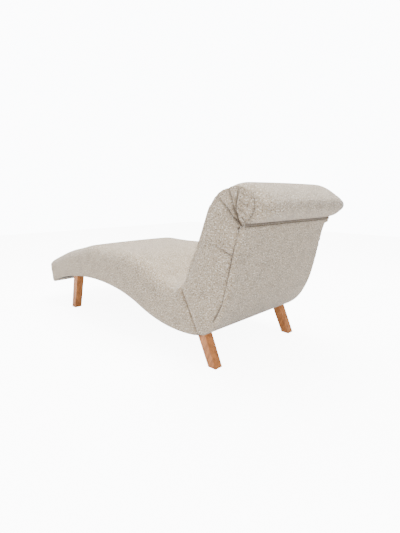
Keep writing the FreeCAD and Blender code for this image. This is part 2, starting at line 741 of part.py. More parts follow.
def edge_kind(name):
    """Which side edge a station of the outline has."""
    if name in HEAD:
        return "roll"
    if name == "roll_low":
        return "lip"
    if name == "toe_top":
        return "toe_top"
    if name in SEAT_TOP or name in BACK_FRONT:
        return "soft"
    if name == "toe_high":
        return "toe"
    return "hem"


def draw_in(kind, x, skin):
    """Depth below the outline at this x: a quarter ellipse at the side edge and a shallow crown."""
    depth, reach = EDGE_OF[kind]
    over = abs(x) - (HALF - reach)
    share = max(0, min(1, over / (reach - skin)))
    fall = (depth - skin) * (1 - math.sqrt(1 - share * share))
    rise = size("crown") * (x / HALF) ** 2 if kind in ("soft", "roll") else 0
    return skin + fall + rise


def crease_knots(offset):
    """The two ends of the straight hip crease, moved square to it by an offset towards the head."""
    top = (size("crease_top_y"), size("crease_top_z"))
    foot = (size("crease_foot_y"), size("crease_foot_z"))
    heading = math.atan2(foot[1] - top[1], foot[0] - top[0])
    total = math.dist(top, foot)
    ends = []
    for distance in (size("crease_top_round"), total - size("crease_foot_round")):
        y = top[0] + distance * math.cos(heading) - offset * math.sin(heading)
        z = top[1] + distance * math.sin(heading) + offset * math.cos(heading)
        ends.append((y, z, heading))
    return ends


def seat_knots():
    """The seat's stations in order, with the kind of side edge of each."""
    upper, lower = crease_knots(-size("crease_gap") / 2)
    rows = [(OUTLINE[name], edge_kind(name)) for name in ("toe_low", "toe_high") + SEAT_TOP]
    rows += [(upper, "crease"), (lower, "crease")]
    rows += [(OUTLINE[name], "hem") for name in UNDER]
    return rows


def back_knots():
    """The back's stations in order, with the kind of side edge of each."""
    upper, lower = crease_knots(size("crease_gap") / 2)
    names = BACK_FRONT + HEAD + ("roll_low",) + REAR
    rows = [(OUTLINE[name], edge_kind(name)) for name in names]
    for y, z, heading in (lower, upper):
        rows.append(((y, z, heading + math.pi), "crease"))
    return rows


# Shares of the roll's end reach at which the side views stand, from the middle out to the side.
VIEW_SHARES = (1, 0.42, 0.11, 0)


def side_stations(skin):
    """Where the side views stand across the chaise, closer together towards the sides."""
    found = [HALF - skin - share * size("roll_end_reach") for share in VIEW_SHARES]
    return [-x for x in reversed(found)] + [0] + found


def soft_form(name, knots, skin):
    """A closed soft solid at a depth below the outline, lofted across the chaise."""
    counts = [curve.chord_count() for curve in path([knot for knot, _ in knots], closed=True)]
    wires = []
    for x in side_stations(skin):
        row = [moved(knot, draw_in(kind, x, skin)) for knot, kind in knots]
        points = []
        for curve, count in zip(path(row, closed=True), counts):
            for index in range(count):
                y, z, _ = curve.point(index / count)
                points.append(Vector(x, y, z))
        wires.append(Part.makePolygon(points + points[:1]))
    item = DOC.addObject("Part::Feature", name)
    item.Shape = Part.makeLoft(wires, True, True)
    return item


HOLLOW = side_view_body("frame_space", cavity(), FRAME_WIDTH)
COVER = size("fabric")
PADDING = size("fabric") + size("layer_gap")


def carved(label, whole, tools):
    """A sub-part of the padding: a soft form with other forms cut out of it, one after the other."""
    shape = whole.Shape
    for tool in tools:
        shape = shape.cut(tool.Shape)
    item = DOC.addObject("Part::Feature", label + "_carved")
    item.Shape = shape
    return node(item, label)


DOC.recompute()
for LABEL, KNOTS in (("seat", seat_knots()), ("back", back_knots())):
    OUTER = soft_form(LABEL + "_outer", KNOTS, 0)
    INNER = soft_form(LABEL + "_inner", KNOTS, COVER)
    carved(LABEL + "_cover", OUTER, (INNER, HOLLOW))
    FILLING = soft_form(LABEL + "_filling", KNOTS, PADDING)
    carved(LABEL + "_foam", FILLING, (HOLLOW,))


def check_and_write():
    """Stop at any failed object or shape, then write each sub-part to its own file."""
    DOC.recompute()
    for item in DOC.Objects:
        if "Invalid" in item.State or "Error" in item.State:
            raise RuntimeError("failed object: " + item.Label)
    os.makedirs("parts", exist_ok=True)
    for item in PARTS:
        shape = item.Shape
        if shape.isNull() or not shape.isValid() or shape.Volume <= 0:
            raise RuntimeError("bad shape: " + item.Label)
        shape.exportStep("parts/" + item.Label + ".step")
        print(item.Label, len(shape.Solids), round(shape.Volume))


check_and_write()
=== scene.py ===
import bmesh
import bpy
import math
import numpy as np
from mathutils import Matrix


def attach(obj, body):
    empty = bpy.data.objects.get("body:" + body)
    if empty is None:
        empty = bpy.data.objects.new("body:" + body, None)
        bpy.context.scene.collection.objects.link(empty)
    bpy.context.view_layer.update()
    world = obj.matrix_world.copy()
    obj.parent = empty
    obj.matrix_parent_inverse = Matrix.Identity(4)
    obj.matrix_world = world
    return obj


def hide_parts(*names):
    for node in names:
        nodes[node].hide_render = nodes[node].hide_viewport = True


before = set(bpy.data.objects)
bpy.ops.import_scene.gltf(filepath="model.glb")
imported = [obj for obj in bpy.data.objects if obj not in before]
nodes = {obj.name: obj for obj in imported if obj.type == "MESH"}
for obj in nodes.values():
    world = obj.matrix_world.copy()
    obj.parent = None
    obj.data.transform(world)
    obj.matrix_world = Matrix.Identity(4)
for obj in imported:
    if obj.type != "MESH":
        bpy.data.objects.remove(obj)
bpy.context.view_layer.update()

# The studio: a pale floor, an even white room and soft lamps, seen from behind the head of the chaise,
# at about the height of its roll.
camera = bpy.data.objects.new("camera", bpy.data.cameras.new("camera"))
bpy.context.scene.collection.objects.link(camera)
camera_down, camera_turn = 11.152, 134.5326
camera.location = (1.4787, 1.7309, 0.782)
camera.rotation_euler = (math.radians(90 - camera_down), 0, math.radians(camera_turn))
camera.data.sensor_width = 36
camera.data.lens = 24.65
camera.data.clip_start = 0.02
bpy.context.scene.camera = camera

# The room is brighter above and on the near side; the paper behind shows pure white.
room_low, room_high = 0.02, 2.1
white_paper = 12.0
bright_way = (-0.42, 0.08, -0.90)
room = bpy.data.worlds.new("white_room")
bpy.context.scene.world = room
room.use_nodes = True
new, link = room.node_tree.nodes.new, room.node_tree.links.new
paper = room.node_tree.nodes["Background"]
paper.inputs["Color"].default_value = (0.96, 0.98, 1.0, 1)
way = new("ShaderNodeNewGeometry")
toward = new("ShaderNodeVectorMath")
toward.operation = "DOT_PRODUCT"
toward.inputs[1].default_value = bright_way
link(way.outputs["Incoming"], toward.inputs[0])
fade = new("ShaderNodeMapRange")
for socket, value in (("From Min", -0.22), ("From Max", 1.0), ("To Min", room_low), ("To Max", room_high)):
    fade.inputs[socket].default_value = value
link(toward.outputs["Value"], fade.inputs["Value"])
seen = new("ShaderNodeLightPath")
strength = new("ShaderNodeMix")
link(seen.outputs["Is Camera Ray"], strength.inputs["Factor"])
link(fade.outputs[0], strength.inputs["A"])
strength.inputs["B"].default_value = white_paper
link(strength.outputs["Result"], paper.inputs["Strength"])

for name, place, aim, size, power, tint in (
        ("window_lamp", (1.35, 2.15, 1.2), (0.3, 0.8, 0.4), 0.9, 17, (0.82, 0.90, 1.0)),
        ("top_lamp", (-0.6, 0.0, 3.4), (0, -0.1, 0.3), 2.4, 240, (0.97, 1.0, 0.97)),
        ("toe_lamp", (1.6, -3.2, 1.8), (0, -0.4, 0.4), 2.0, 16, (1.0, 0.95, 0.88))):
    lamp = bpy.data.objects.new(name, bpy.data.lights.new(name, "AREA"))
    bpy.context.scene.collection.objects.link(lamp)
    lamp.data.energy = power
    lamp.data.size = size
    lamp.data.color = tint
    lamp.location = place
    away = np.array(place) - np.array(aim)
    lamp.rotation_euler = (math.atan2(math.hypot(away[0], away[1]), away[2]), 0,
                           math.atan2(away[0], -away[1]))


def grid_mesh(name, points, closed=False):
    """A mesh over a grid of points (rows, columns, 3). Quads join each point to the next in its row and in
    the next row, and a closed grid also joins the last column to the first."""
    rows, columns = points.shape[:2]
    index = np.arange(rows * columns).reshape(rows, columns)
    if closed:
        index = np.concatenate([index, index[:, :1]], axis=1)
    quads = np.stack([index[:-1, :-1], index[:-1, 1:], index[1:, 1:], index[1:, :-1]], axis=-1).reshape(-1, 4)
    mesh = bpy.data.meshes.new(name)
    mesh.vertices.add(rows * columns)
    mesh.vertices.foreach_set("co", points.reshape(-1).astype(np.float32))
    mesh.loops.add(quads.size)
    mesh.loops.foreach_set("vertex_index", quads.reshape(-1).astype(np.int32))
    mesh.polygons.add(len(quads))
    mesh.polygons.foreach_set("loop_start", np.arange(0, quads.size, 4, dtype=np.int32))
    mesh.update(calc_edges=True)
    mesh.polygons.foreach_set("use_smooth", np.ones(len(quads), dtype=bool))
    piece = bpy.data.objects.new(name, mesh)
    bpy.context.scene.collection.objects.link(piece)
    return piece


# A pale painted floor. To the camera alone it also glows, so that it shows as white as the paper behind
# and still takes the soft shadows.
floor_half, floor_glow = 6.0, 9.0
floor_steps = np.linspace(-floor_half, floor_half, 9)
floor = grid_mesh("floor", np.stack(np.meshgrid(floor_steps, floor_steps, [0.0]), axis=-1)[:, :, 0, :])
paint = bpy.data.materials.new("pale_floor")
paint.use_nodes = True
tree = paint.node_tree
speck = tree.nodes.new("ShaderNodeTexNoise")
speck.inputs["Scale"].default_value = 3.0
ramp = tree.nodes.new("ShaderNodeValToRGB")
ramp.color_ramp.elements[0].color = (0.90, 0.90, 0.90, 1)
ramp.color_ramp.elements[1].color = (0.93, 0.93, 0.93, 1)
place = tree.nodes.new("ShaderNodeTexCoord")
tree.links.new(place.outputs["Object"], speck.inputs["Vector"])
tree.links.new(speck.outputs["Fac"], ramp.inputs["Fac"])
tree.links.new(ramp.outputs["Color"], tree.nodes["Principled BSDF"].inputs["Base Color"])
tree.nodes["Principled BSDF"].inputs["Roughness"].default_value = 0.9
seen = tree.nodes.new("ShaderNodeLightPath")
glow = tree.nodes.new("ShaderNodeMath")
glow.operation = "MULTIPLY"
glow.inputs[1].default_value = floor_glow
tree.links.new(seen.outputs["Is Camera Ray"], glow.inputs[0])
tree.links.new(glow.outputs[0], tree.nodes["Principled BSDF"].inputs["Emission Strength"])
tree.nodes["Principled BSDF"].inputs["Emission Color"].default_value = (1, 1, 1, 1)
floor.data.materials.append(paint)

# The outline of the whole chaise, from which the seat, the back and all layers inside are drawn, and the
# space that the wooden frame fills inside the padding. It is open underneath and behind. Each station
# gives y, z, its heading in degrees and the depth of the padding over the wood.
outline_stations = {
    "toe_low": (-0.907, 0.152, 112.5, 0.0107),
    "toe_high": (-0.962, 0.262, 91, 0.0196),
    "toe_top": (-0.917, 0.318, 19.9, 0.046),
    "rise": (-0.589, 0.421, 11.7, 0.046),
    "hump": (-0.289, 0.471, -2.7, 0.046),
    "fall": (0.174, 0.430, -21.2, 0.046),
    "hip": (0.437, 0.360, 9.9, 0.046),
    "lumbar": (0.516, 0.408, 71, 0.050),
    "neck": (0.618, 0.638, 68.9, 0.050),
    "crown_front": (0.687, 0.776, 48.6, 0.0466),
    "crown_top": (0.773, 0.828, 15.6, 0.0466),
    "roll_back": (0.948, 0.766, -43.8, 0.0466),
    "roll_low": (0.869, 0.673, 178.2, 0.0466),
    "tuck": (0.860, 0.662, -108.5, 0.0101),
    "back_low": (0.789, 0.368, -104, 0.0101),
    "hip_rear": (0.639, 0.1538, -155.1, 0.0101),
    "hip_front": (0.5885, 0.1379, -170.1, 0.0018),
    "belly": (0.479, 0.1293, -179.5, 0.0018),
    "under_rise": (0.166, 0.187, 159.3, 0.0018),
    "arch": (-0.297, 0.261, -179.7, 0.0018),
    "under_toe": (-0.871, 0.166, -160.6, 0.0045),
}


def closed_line(stations, steps=40):
    """The closed side view through the stations, each joined to the next by two tangent arcs whose end
    runs have the length d that makes them meet, |(p1 - d t1) - (p0 + d t0)| = 2 d. Returns the points,
    the unwrapped headings and the distances along it, and the distance of each station."""
    rows = np.array([row[:3] for row in stations.values()])
    rows = np.concatenate([rows, rows[:1]])
    spot, turn = rows[:, :2], np.radians(rows[:, 2])
    way = np.stack([np.cos(turn), np.sin(turn)], axis=1)
    p0, p1, t0, t1 = spot[:-1], spot[1:], way[:-1], way[1:]
    gap = p1 - p0
    along = (gap * (t0 + t1)).sum(1)
    square = (gap ** 2).sum(1)
    spread = 2 * (1 - (t0 * t1).sum(1))
    bend = np.where(spread < 1e-9, 1, spread)
    d = np.where(spread < 1e-9, square / np.maximum(4 * (gap * t1).sum(1), 1e-9),
                 (-along + np.sqrt(along ** 2 + bend * square)) / bend)[:, None]
    a, b = p0 + d * t0, p1 - d * t1
    joint, middle = (a + b) / 2, np.arctan2(*(b - a).T[::-1])
    start = np.stack([p0, joint], axis=1).reshape(-1, 2)
    end = np.stack([joint, p1], axis=1).reshape(-1, 2)
    first = np.stack([turn[:-1], middle], axis=1).reshape(-1)
    last = np.stack([middle, turn[1:]], axis=1).reshape(-1)
    swing = (last - first + math.pi) % (2 * math.pi) - math.pi
    swing = np.where(abs(swing) < 1e-5, 1e-5, swing)
    radius = np.linalg.norm(end - start, axis=1) / (2 * np.sin(swing / 2))
    share = np.linspace(0, 1, steps, endpoint=False)
    now = first[:, None] + swing[:, None] * share
    y = start[:, :1] + radius[:, None] * (np.sin(now) - np.sin(first)[:, None])
    z = start[:, 1:] - radius[:, None] * (np.cos(now) - np.cos(first)[:, None])
    length = abs(radius * swing)
    base = np.concatenate([[0], np.cumsum(length)])
    far = base[:-1, None] + length[:, None] * share
    bearing = first[0] + np.concatenate([[0], np.cumsum(swing)])[:-1, None] + swing[:, None] * share
    line = [v.reshape(-1) for v in (far, y, z, bearing)]
    line = [np.append(v, e) for v, e in zip(line, (base[-1], spot[0, 0], spot[0, 1], first[0] + swing.sum()))]
    return np.array(line), dict(zip(stations, base[:-1:2]))


def on_line(line, far):
    """Points (y, z) and inward normals of a closed line at these distances, which may run past its ends."""
    total = line[0, -1]
    laps = np.floor(far / total)
    far = far - laps * total
    y, z, bearing = (np.interp(far, line[0], row) for row in line[1:])
    return np.stack([y, z], axis=-1), np.stack([np.sin(bearing), -np.cos(bearing)], axis=-1)


frame_half = 0.345
outline, outline_marks = closed_line(outline_stations)
inner_stations = {
    name: (y + depth * math.sin(math.radians(turn)), z - depth * math.cos(math.radians(turn)), turn)
    for name, (y, z, turn, depth) in outline_stations.items()}
inner_line, inner_marks = closed_line(inner_stations)
hem, overrun, tuck_gap = 0.012, 0.012, 0.007
inner_run = np.linspace(inner_marks["under_toe"] - hem - inner_line[0, -1], inner_marks["tuck"], 260)
outer_run = np.linspace(outline_marks["tuck"] + tuck_gap, outline_marks["under_toe"] - hem, 160)
outer_spot, outer_in = on_line(outline, outer_run)
profile = np.concatenate([on_line(inner_line, inner_run)[0], outer_spot - outer_in * overrun])
walls = [np.concatenate([np.full((len(profile), 1), x), profile], axis=1) for x in (-frame_half, frame_half)]
frame_space = grid_mesh("frame_space", np.array(walls), closed=True)
closing = bmesh.new()
closing.from_mesh(frame_space.data)
bmesh.ops.holes_fill(closing, edges=[edge for edge in closing.edges if edge.is_boundary], sides=0)
bmesh.ops.triangulate(closing, faces=[face for face in closing.faces if len(face.verts) > 4])
bmesh.ops.recalc_face_normals(closing, faces=closing.faces)
closing.to_mesh(frame_space.data)
closing.free()


def hollowed(piece):
    """The piece with the space of the wooden frame cut out of it."""
    hollow = piece.modifiers.new("hollow", "BOOLEAN")
    hollow.object = frame_space
    hollow.operation = "DIFFERENCE"
    hollow.solver = "MANIFOLD"
    applied(piece)
    return piece


# The seat: foam over zigzag springs, covered in one tweed cloth that wraps the toe, the rounded side edges
# and the sides, and is drawn in tightly at the hip crease and at the hem underneath.
body_half = 0.357
# Side view stations, toe to head and back underneath: y, z, heading in degrees, then the depth and the
# width of the rounded side edge there.
seat_stations = {
    "toe_low": (-0.907, 0.152, 112.5, 0.012, 0.012),
    "toe_high": (-0.962, 0.275, 88.8, 0.045, 0.045),
    "toe_top": (-0.917, 0.318, 19.9, 0.060, 0.060),
    "rise": (-0.589, 0.421, 11.7, 0.065, 0.065),
    "hump": (-0.289, 0.471, -2.7, 0.070, 0.070),
    "fall": (0.174, 0.430, -21.2, 0.070, 0.070),
    "hip": (0.437, 0.360, 9.9, 0.060, 0.060),
    "crease_top": (0.4974, 0.3506, -60.8, 0.014, 0.009),
    "crease_foot": (0.6048, 0.1574, -60.8, 0.012, 0.008),
    "hip_front": (0.5885, 0.1379, -170.1, 0.012, 0.012),
    "belly": (0.479, 0.1293, -179.5, 0.012, 0.012),
    "under_rise": (0.166, 0.187, 159.3, 0.012, 0.012),
    "arch": (-0.297, 0.261, -179.7, 0.012, 0.012),
    "under_toe": (-0.871, 0.166, -160.6, 0.012, 0.012),
}


def eased(far, marks, values, total):
    """A size given at some distances along a closed line, eased from one to the next by 3 t^2 - 2 t^3."""
    marks = np.concatenate([np.array(marks) - total, marks, np.array(marks) + total])
    values = np.tile(values, 3)
    place = np.clip(np.searchsorted(marks, far) - 1, 0, len(marks) - 2)
    t = np.clip((far - marks[place]) / (marks[place + 1] - marks[place]), 0, 1)
    return values[place] + (values[place + 1] - values[place]) * t * t * (3 - 2 * t)


def across(point, inward, depth, width, half, rise, shares):
    """A row of points across the chaise for each place on an outline. From the middle out to each side it
    is flat but for a rise of the crown, then a quarter ellipse of this depth and width down to the side.
    shares run from -1 to 1, and beyond one half in size they are the angle of the ellipse."""
    flat = np.clip(shares / 0.5, -1, 1)
    angle = np.clip((abs(shares) - 0.5) / 0.5, 0, 1) * math.pi / 2
    x = flat * (half - width)[:, None] + np.sign(shares) * width[:, None] * np.sin(angle)
    fall = depth[:, None] * (1 - np.cos(angle)) + rise[:, None] * (x / half[:, None]) ** 2
    spot = point[:, None, :] + inward[:, None, :] * fall[..., None]
    return np.concatenate([x[..., None], spot], axis=-1)


def stuffed_body(name, line, upper, lower, sizes_up, sizes_low, middle, corner, rows, bulge):
    """A closed body swept between an upper and a lower line. Each section is a ring: across the top, down
    one side, back across underneath and up the other side, where the sides run straight from edge to edge
    and swell by bulge sin(pi t). Both ends close onto one row."""
    flat = np.linspace(-0.5, 0.5, middle)
    curve = np.linspace(0.5, 1, corner + 1)[1:]
    shares = np.concatenate([-curve[::-1], flat, curve])
    top_point, top_in = on_line(line, upper)
    low_point, low_in = on_line(line, lower)
    top = across(top_point, top_in, *sizes_up, shares)
    low = across(low_point, low_in, *sizes_low, -shares)
    t = np.linspace(0, 1, rows + 1)[1:-1, None]
    swell = np.stack([bulge * np.sin(math.pi * t[:, 0]), 0 * t[:, 0], 0 * t[:, 0]], axis=-1)
    near = top[:, -1:] * (1 - t) + low[:, :1] * t + swell
    far = low[:, -1:] * (1 - t) + top[:, :1] * t - swell
    ring = np.concatenate([top, near, low, far], axis=1)
    piece = grid_mesh(name, ring, closed=True)
    wide = len(shares)
    run = np.concatenate([np.repeat(upper[:, None], wide, 1), upper[:, None] * (1 - t[:, 0]) + lower[:, None]
                          * t[:, 0], np.repeat(lower[:, None], wide, 1),
                          lower[:, None] * (1 - t[:, 0]) + upper[:, None] * t[:, 0]], axis=1)
    piece.data.attributes.new("along", "FLOAT", "POINT").data.foreach_set("value", run.reshape(-1))
    return piece


def welded(piece, gap=0.0004):
    """The piece with points closer than a gap made one, and its faces turned outwards."""
    work = bmesh.new()
    work.from_mesh(piece.data)
    bmesh.ops.remove_doubles(work, verts=work.verts, dist=gap)
    bmesh.ops.dissolve_degenerate(work, edges=work.edges, dist=1e-5)
    bmesh.ops.recalc_face_normals(work, faces=work.faces)
    work.to_mesh(piece.data)
    work.free()
    piece.data.polygons.foreach_set("use_smooth", np.ones(len(piece.data.polygons), dtype=bool))
    return piece


def points_of(piece):
    """The piece's vertices as an array (n, 3)."""
    found = np.empty(len(piece.data.vertices) * 3, np.float32)
    piece.data.vertices.foreach_get("co", found)
    return found.reshape(-1, 3).astype(float)


def normals_of(piece):
    """The piece's vertex normals as an array (n, 3)."""
    found = np.empty(len(piece.data.vertices) * 3, np.float32)
    piece.data.vertex_normals.foreach_get("vector", found)
    return found.reshape(-1, 3).astype(float)


def set_points(piece, points):
    """Move the piece's vertices to these places."""
    piece.data.vertices.foreach_set("co", points.reshape(-1).astype(np.float32))
    piece.data.update()


def applied(piece):
    """The piece with its modifiers made part of its mesh."""
    graph = bpy.context.evaluated_depsgraph_get()
    mesh = bpy.data.meshes.new_from_object(piece.evaluated_get(graph), preserve_all_data_layers=True,
                                           depsgraph=graph)
    piece.modifiers.clear()
    piece.data = mesh
    return piece


def plumped(piece, held, swell):
    """The piece with its skin raised along its normals by swell, but not where it is held (1 for fully)."""
    set_points(piece, points_of(piece) + normals_of(piece) * (swell * (1 - held))[:, None])
    return piece


def refined(piece, levels=1):
    """The piece after this many rounds of smooth subdivision."""
    finer = piece.modifiers.new("finer", "SUBSURF")
    finer.levels = levels
    finer.render_levels = levels
    return applied(piece)


line, marks = closed_line(seat_stations)
total = line[0, -1]
names = list(seat_stations)
nose = (marks["under_toe"] + total) / 2
corner_low = (marks["crease_foot"] + marks["hip_front"]) / 2
columns = 300
upper = np.linspace(nose - total, corner_low, columns)
# Each upper station, and how far back along the chaise the side under it reaches.
ties = (("toe_low", -0.893), ("toe_high", -0.878), ("toe_top", -0.845), ("rise", -0.589), ("hump", -0.297),
        ("fall", 0.166), ("hip", 0.420), ("crease_top", 0.510), ("crease_foot", 0.580))
below = np.linspace(nose, corner_low, 4000)
below_y = on_line(line, below)[0][:, 0]
ties_far = [nose - total] + [marks[name] for name, _ in ties] + [corner_low]
ties_low = [nose] + [float(np.interp(y, below_y, below)) for _, y in ties] + [corner_low]
lower = np.interp(upper, ties_far, ties_low)
station_far = [marks[name] for name in names]


def soft_step(value, low, high):
    """0 below low, 1 above high, eased between."""
    t = np.clip((value - low) / (high - low), 0, 1)
    return t * t * (3 - 2 * t)


def crown(far, most, fade=0.10):
    """The rise across the middle of a body, which fades out towards both ends, where the body closes."""
    return most * soft_step(np.minimum(far - far[0], far[-1] - far), 0.0, fade)


def edge_sizes(far, stations, station_far, total, half, rise):
    """Depth and width of the side edge, half width of the body and crown at these distances."""
    depth, width = (eased(far, station_far, [row[k] for row in stations.values()], total) for k in (3, 4))
    return depth, width, half + 0 * far, rise + 0 * far


seat = stuffed_body("seat_upholstery", line, upper, lower,
                    edge_sizes(upper, seat_stations, station_far, total, body_half,
                               crown(upper, 0.004)),
                    edge_sizes(lower, seat_stations, station_far, total, body_half, 0.0),
                    middle=44, corner=9, rows=18, bulge=0.003)
welded(seat)


def tweed_group():
    """A node group for the tweed cloth on flat coordinates in metres. Two sets of slubs, which are noise
    drawn out along the warp and along the weft, cross over in a sine weave, and dark and light flecks
    and a soft mottling change the base colour."""
    group = bpy.data.node_groups.new("tweed", "ShaderNodeTree")
    for name, kind, value in (("Place", "NodeSocketVector", None),
                              ("Base", "NodeSocketColor", (0.5, 0.47, 0.42, 1)),
                              ("Dark", "NodeSocketColor", (0.2, 0.16, 0.12, 1)),
                              ("Light", "NodeSocketColor", (0.8, 0.78, 0.72, 1)),
                              ("Pitch", "NodeSocketFloat", 0.0026)):
        socket = group.interface.new_socket(name, in_out="INPUT", socket_type=kind)
        if value is not None:
            socket.default_value = value
    for name, kind in (("Color", "NodeSocketColor"), ("Height", "NodeSocketFloat")):
        group.interface.new_socket(name, in_out="OUTPUT", socket_type=kind)
    new, link = group.nodes.new, group.links.new
    source = new("NodeGroupInput").outputs
    result = new("NodeGroupOutput").inputs

    def math_node(operation, a, b=None):
        """One Math node over sockets or numbers."""
        item = new("ShaderNodeMath")
        item.operation = operation
        for slot, value in enumerate((a, b)):
            if isinstance(value, (int, float)):
                item.inputs[slot].default_value = value
            elif value is not None:
                link(value, item.inputs[slot])
        return item.outputs[0]

    def noise(scale, size=1.0, detail=2.0):
        """Noise of the place stretched by a scale on each axis."""
        stretch = new("ShaderNodeMapping")
        stretch.vector_type = "TEXTURE"
        stretch.inputs["Scale"].default_value = scale
        link(source["Place"], stretch.inputs["Vector"])
        item = new("ShaderNodeTexNoise")
        item.inputs["Scale"].default_value = size
        item.inputs["Detail"].default_value = detail
        link(stretch.outputs[0], item.inputs["Vector"])
        return item.outputs["Fac"]

    def step(value, low, high):
        """0 below low and 1 above high."""
        item = new("ShaderNodeMapRange")
        item.inputs["From Min"].default_value = low
        item.inputs["From Max"].default_value = high
        link(value, item.inputs["Value"])
        return item.outputs[0]

    def mixed(share, a, b):
        """Colour a changed to colour b by a share."""
        item = new("ShaderNodeMix")
        item.data_type = "RGBA"
        link(share, item.inputs["Factor"])
        link(a, item.inputs["A"])
        link(b, item.inputs["B"])
        return item.outputs["Result"]

    warp = noise((0.0024, 0.015, 0.0024))
    weft = noise((0.015, 0.0024, 0.015))
    fleck = noise((0.0060, 0.0075, 0.0060), detail=3.0)
    spark = noise((0.0075, 0.0058, 0.0058), detail=3.0)
    cloud = noise((0.055, 0.055, 0.055))
    parts = new("ShaderNodeSeparateXYZ")
    link(source["Place"], parts.inputs[0])
    waves = [math_node("SINE", math_node("MULTIPLY", math_node("DIVIDE", parts.outputs[k], source["Pitch"]),
                                         2 * math.pi)) for k in (0, 1)]
    weave = math_node("MULTIPLY", waves[0], waves[1])
    slub = math_node("ADD", math_node("MULTIPLY", warp, 0.5), math_node("MULTIPLY", weft, 0.5))
    thread = math_node("ADD", slub, math_node("MULTIPLY", weave, 0.10))
    dark = math_node("MULTIPLY", step(fleck, 0.52, 0.66), 0.85)
    light = math_node("MULTIPLY", step(spark, 0.54, 0.67), 0.80)
    shade = mixed(dark, source["Base"], source["Dark"])
    shade = mixed(light, shade, source["Light"])
    shade = mixed(math_node("MULTIPLY", step(thread, 0.52, 0.75), 0.40), shade, source["Light"])
    shade = mixed(math_node("MULTIPLY", step(thread, 0.48, 0.28), 0.55), shade, source["Dark"])
    shade = mixed(math_node("MULTIPLY", step(cloud, 0.45, 0.75), 0.25), shade, source["Dark"])
    link(shade, result["Color"])
    link(thread, result["Height"])
    return group


tweed = tweed_group()


def cloth_material(name, base, dark, light):
    """Tweed on a padded piece: laid across the chaise and along its outline on the faces that turn up, down
    or back, and flat on the sides, changing from one to the other where the cloth turns the edge."""
    finish = bpy.data.materials.new(name)
    finish.use_nodes = True
    new, link = finish.node_tree.nodes.new, finish.node_tree.links.new
    shader = finish.node_tree.nodes["Principled BSDF"]
    place = new("ShaderNodeTexCoord")
    axis = new("ShaderNodeSeparateXYZ")
    link(place.outputs["Object"], axis.inputs[0])
    run = new("ShaderNodeAttribute")
    run.attribute_name = "along"
    sides = []
    for first, second in ((axis.outputs[0], run.outputs["Fac"]), (axis.outputs[1], axis.outputs[2])):
        flat = new("ShaderNodeCombineXYZ")
        link(first, flat.inputs[0])
        link(second, flat.inputs[1])
        weave = new("ShaderNodeGroup")
        weave.node_tree = tweed
        weave.inputs["Base"].default_value = base
        weave.inputs["Dark"].default_value = dark
        weave.inputs["Light"].default_value = light
        link(flat.outputs[0], weave.inputs["Place"])
        sides.append(weave)
    facing = new("ShaderNodeNewGeometry")
    turned = new("ShaderNodeSeparateXYZ")
    link(facing.outputs["Normal"], turned.inputs[0])
    size = new("ShaderNodeMath")
    size.operation = "ABSOLUTE"
    link(turned.outputs[0], size.inputs[0])
    edge = new("ShaderNodeMapRange")
    edge.inputs["From Min"].default_value = 0.70
    edge.inputs["From Max"].default_value = 0.78
    link(size.outputs[0], edge.inputs["Value"])
    colour = new("ShaderNodeMix")
    colour.data_type = "RGBA"
    height = new("ShaderNodeMix")
    for mix, output in ((colour, "Color"), (height, "Height")):
        link(edge.outputs[0], mix.inputs["Factor"])
        a, b = [socket for socket in mix.inputs if socket.enabled and socket.name in ("A", "B")]
        link(sides[0].outputs[output], a)
        link(sides[1].outputs[output], b)
    bump = new("ShaderNodeBump")
    bump.inputs["Strength"].default_value = 0.55
    bump.inputs["Distance"].default_value = 0.0012
    link([socket for socket in height.outputs if socket.enabled][0], bump.inputs["Height"])
    link(bump.outputs[0], shader.inputs["Normal"])
    # Painted shade: the shade attribute mixes the cloth's colour towards a deeper dark in the creases, pleats,
    # seam and the tuck under the roll, where shade falls.
    depth = new("ShaderNodeAttribute")
    depth.attribute_name = "shade"
    painted_shade_mix = new("ShaderNodeMix")
    painted_shade_mix.data_type = "RGBA"
    a, b = [socket for socket in painted_shade_mix.inputs if socket.enabled and socket.name in ("A", "B")]
    b.default_value = [value * 0.6 for value in dark]
    link(depth.outputs["Fac"], painted_shade_mix.inputs["Factor"])
    link([socket for socket in colour.outputs if socket.enabled][0], a)
    link([socket for socket in painted_shade_mix.outputs if socket.enabled][0], shader.inputs["Base Color"])
    shader.inputs["Roughness"].default_value = 0.92
    shader.inputs["Sheen Weight"].default_value = 0.25
    shader.inputs["Sheen Roughness"].default_value = 0.55
    shader.inputs["Specular IOR Level"].default_value = 0.25
    return finish


seat_cloth = cloth_material("seat_tweed", base=(0.40, 0.298, 0.198, 1), dark=(0.085, 0.055, 0.032, 1),
                            light=(0.92, 0.85, 0.74, 1))


def finished(piece, finish):
    """The piece with this finish alone."""
    piece.data.materials.clear()
    piece.data.materials.append(finish)


facing = normals_of(seat)
crease_way = np.array([0, 0.873, 0.488])
held = np.maximum(soft_step(facing @ crease_way, 0.55, 0.9) * (points_of(seat)[:, 1] > 0.44),
                  soft_step(-facing[:, 2], 0.3, 0.7))
plumped(seat, held, swell=0.001)
refined(seat)
hollowed(seat)
finished(seat, seat_cloth)
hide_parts("seat_cover", "seat_foam")
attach(seat, "root")

